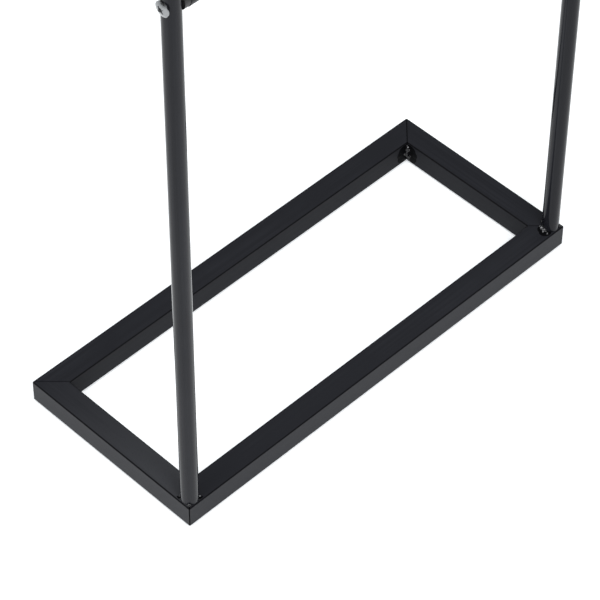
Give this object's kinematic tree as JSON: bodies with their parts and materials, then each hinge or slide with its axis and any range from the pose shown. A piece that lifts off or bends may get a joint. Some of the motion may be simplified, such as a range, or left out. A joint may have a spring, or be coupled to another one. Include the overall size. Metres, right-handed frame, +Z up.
{
  "type": "valet stand",
  "caption": "Free-standing clothes valet: flat rectangular tube base, slim round uprights, screwed trouser bar and a bent-tube jacket hanger on top.",
  "frame": {"origin": "on the floor under the middle of the base, bottom centre of the whole object", "axes": "+Z up; +X along the long base rails, to the right of a person facing the hanger; -Y is the side of the base that carries the uprights"},
  "size_m": [0.5032, 0.212, 1.0823],
  "materials": {
    "black_powder_coat": "fine-textured satin black powder coat",
    "painted_weld": "gloss where the coat has pooled over the weld bead",
    "zinc_screw": "bright zinc plated",
    "steel_insert": "plain turned steel",
    "black_plastic": "moulded, fine spark texture",
    "rubber_pad": "matt"
  },
  "bodies": {
    "root": {"base_rail_back": "black_powder_coat", "base_rail_front": "black_powder_coat", "base_rail_left": "black_powder_coat", "base_rail_right": "black_powder_coat", "corner_weld_back_left": "painted_weld", "corner_weld_back_right": "painted_weld", "corner_weld_front_left": "painted_weld", "corner_weld_front_right": "painted_weld", "foot_pad_back_left": "rubber_pad", "foot_pad_back_right": "rubber_pad", "foot_pad_front_left": "rubber_pad", "foot_pad_front_right": "rubber_pad", "hanger_arms": "black_powder_coat", "hanger_bar": "black_powder_coat", "hanger_bar_insert_left": "steel_insert", "hanger_bar_insert_right": "steel_insert", "hanger_bar_saddle_left": "black_plastic", "hanger_bar_saddle_right": "black_plastic", "hanger_bar_screws": "zinc_screw", "hanger_cap_left": "black_plastic", "hanger_cap_right": "black_plastic", "hanger_post": "black_powder_coat", "post_weld_lower": "painted_weld", "post_weld_upper": "painted_weld", "trouser_bar": "black_powder_coat", "trouser_bar_insert_left": "steel_insert", "trouser_bar_insert_right": "steel_insert", "trouser_bar_saddle_left": "black_plastic", "trouser_bar_saddle_right": "black_plastic", "trouser_bar_screws": "zinc_screw", "upright_cap_left": "black_plastic", "upright_cap_right": "black_plastic", "upright_left": "black_powder_coat", "upright_right": "black_powder_coat", "upright_weld_left": "painted_weld", "upright_weld_right": "painted_weld"}
  },
  "joints": []
}
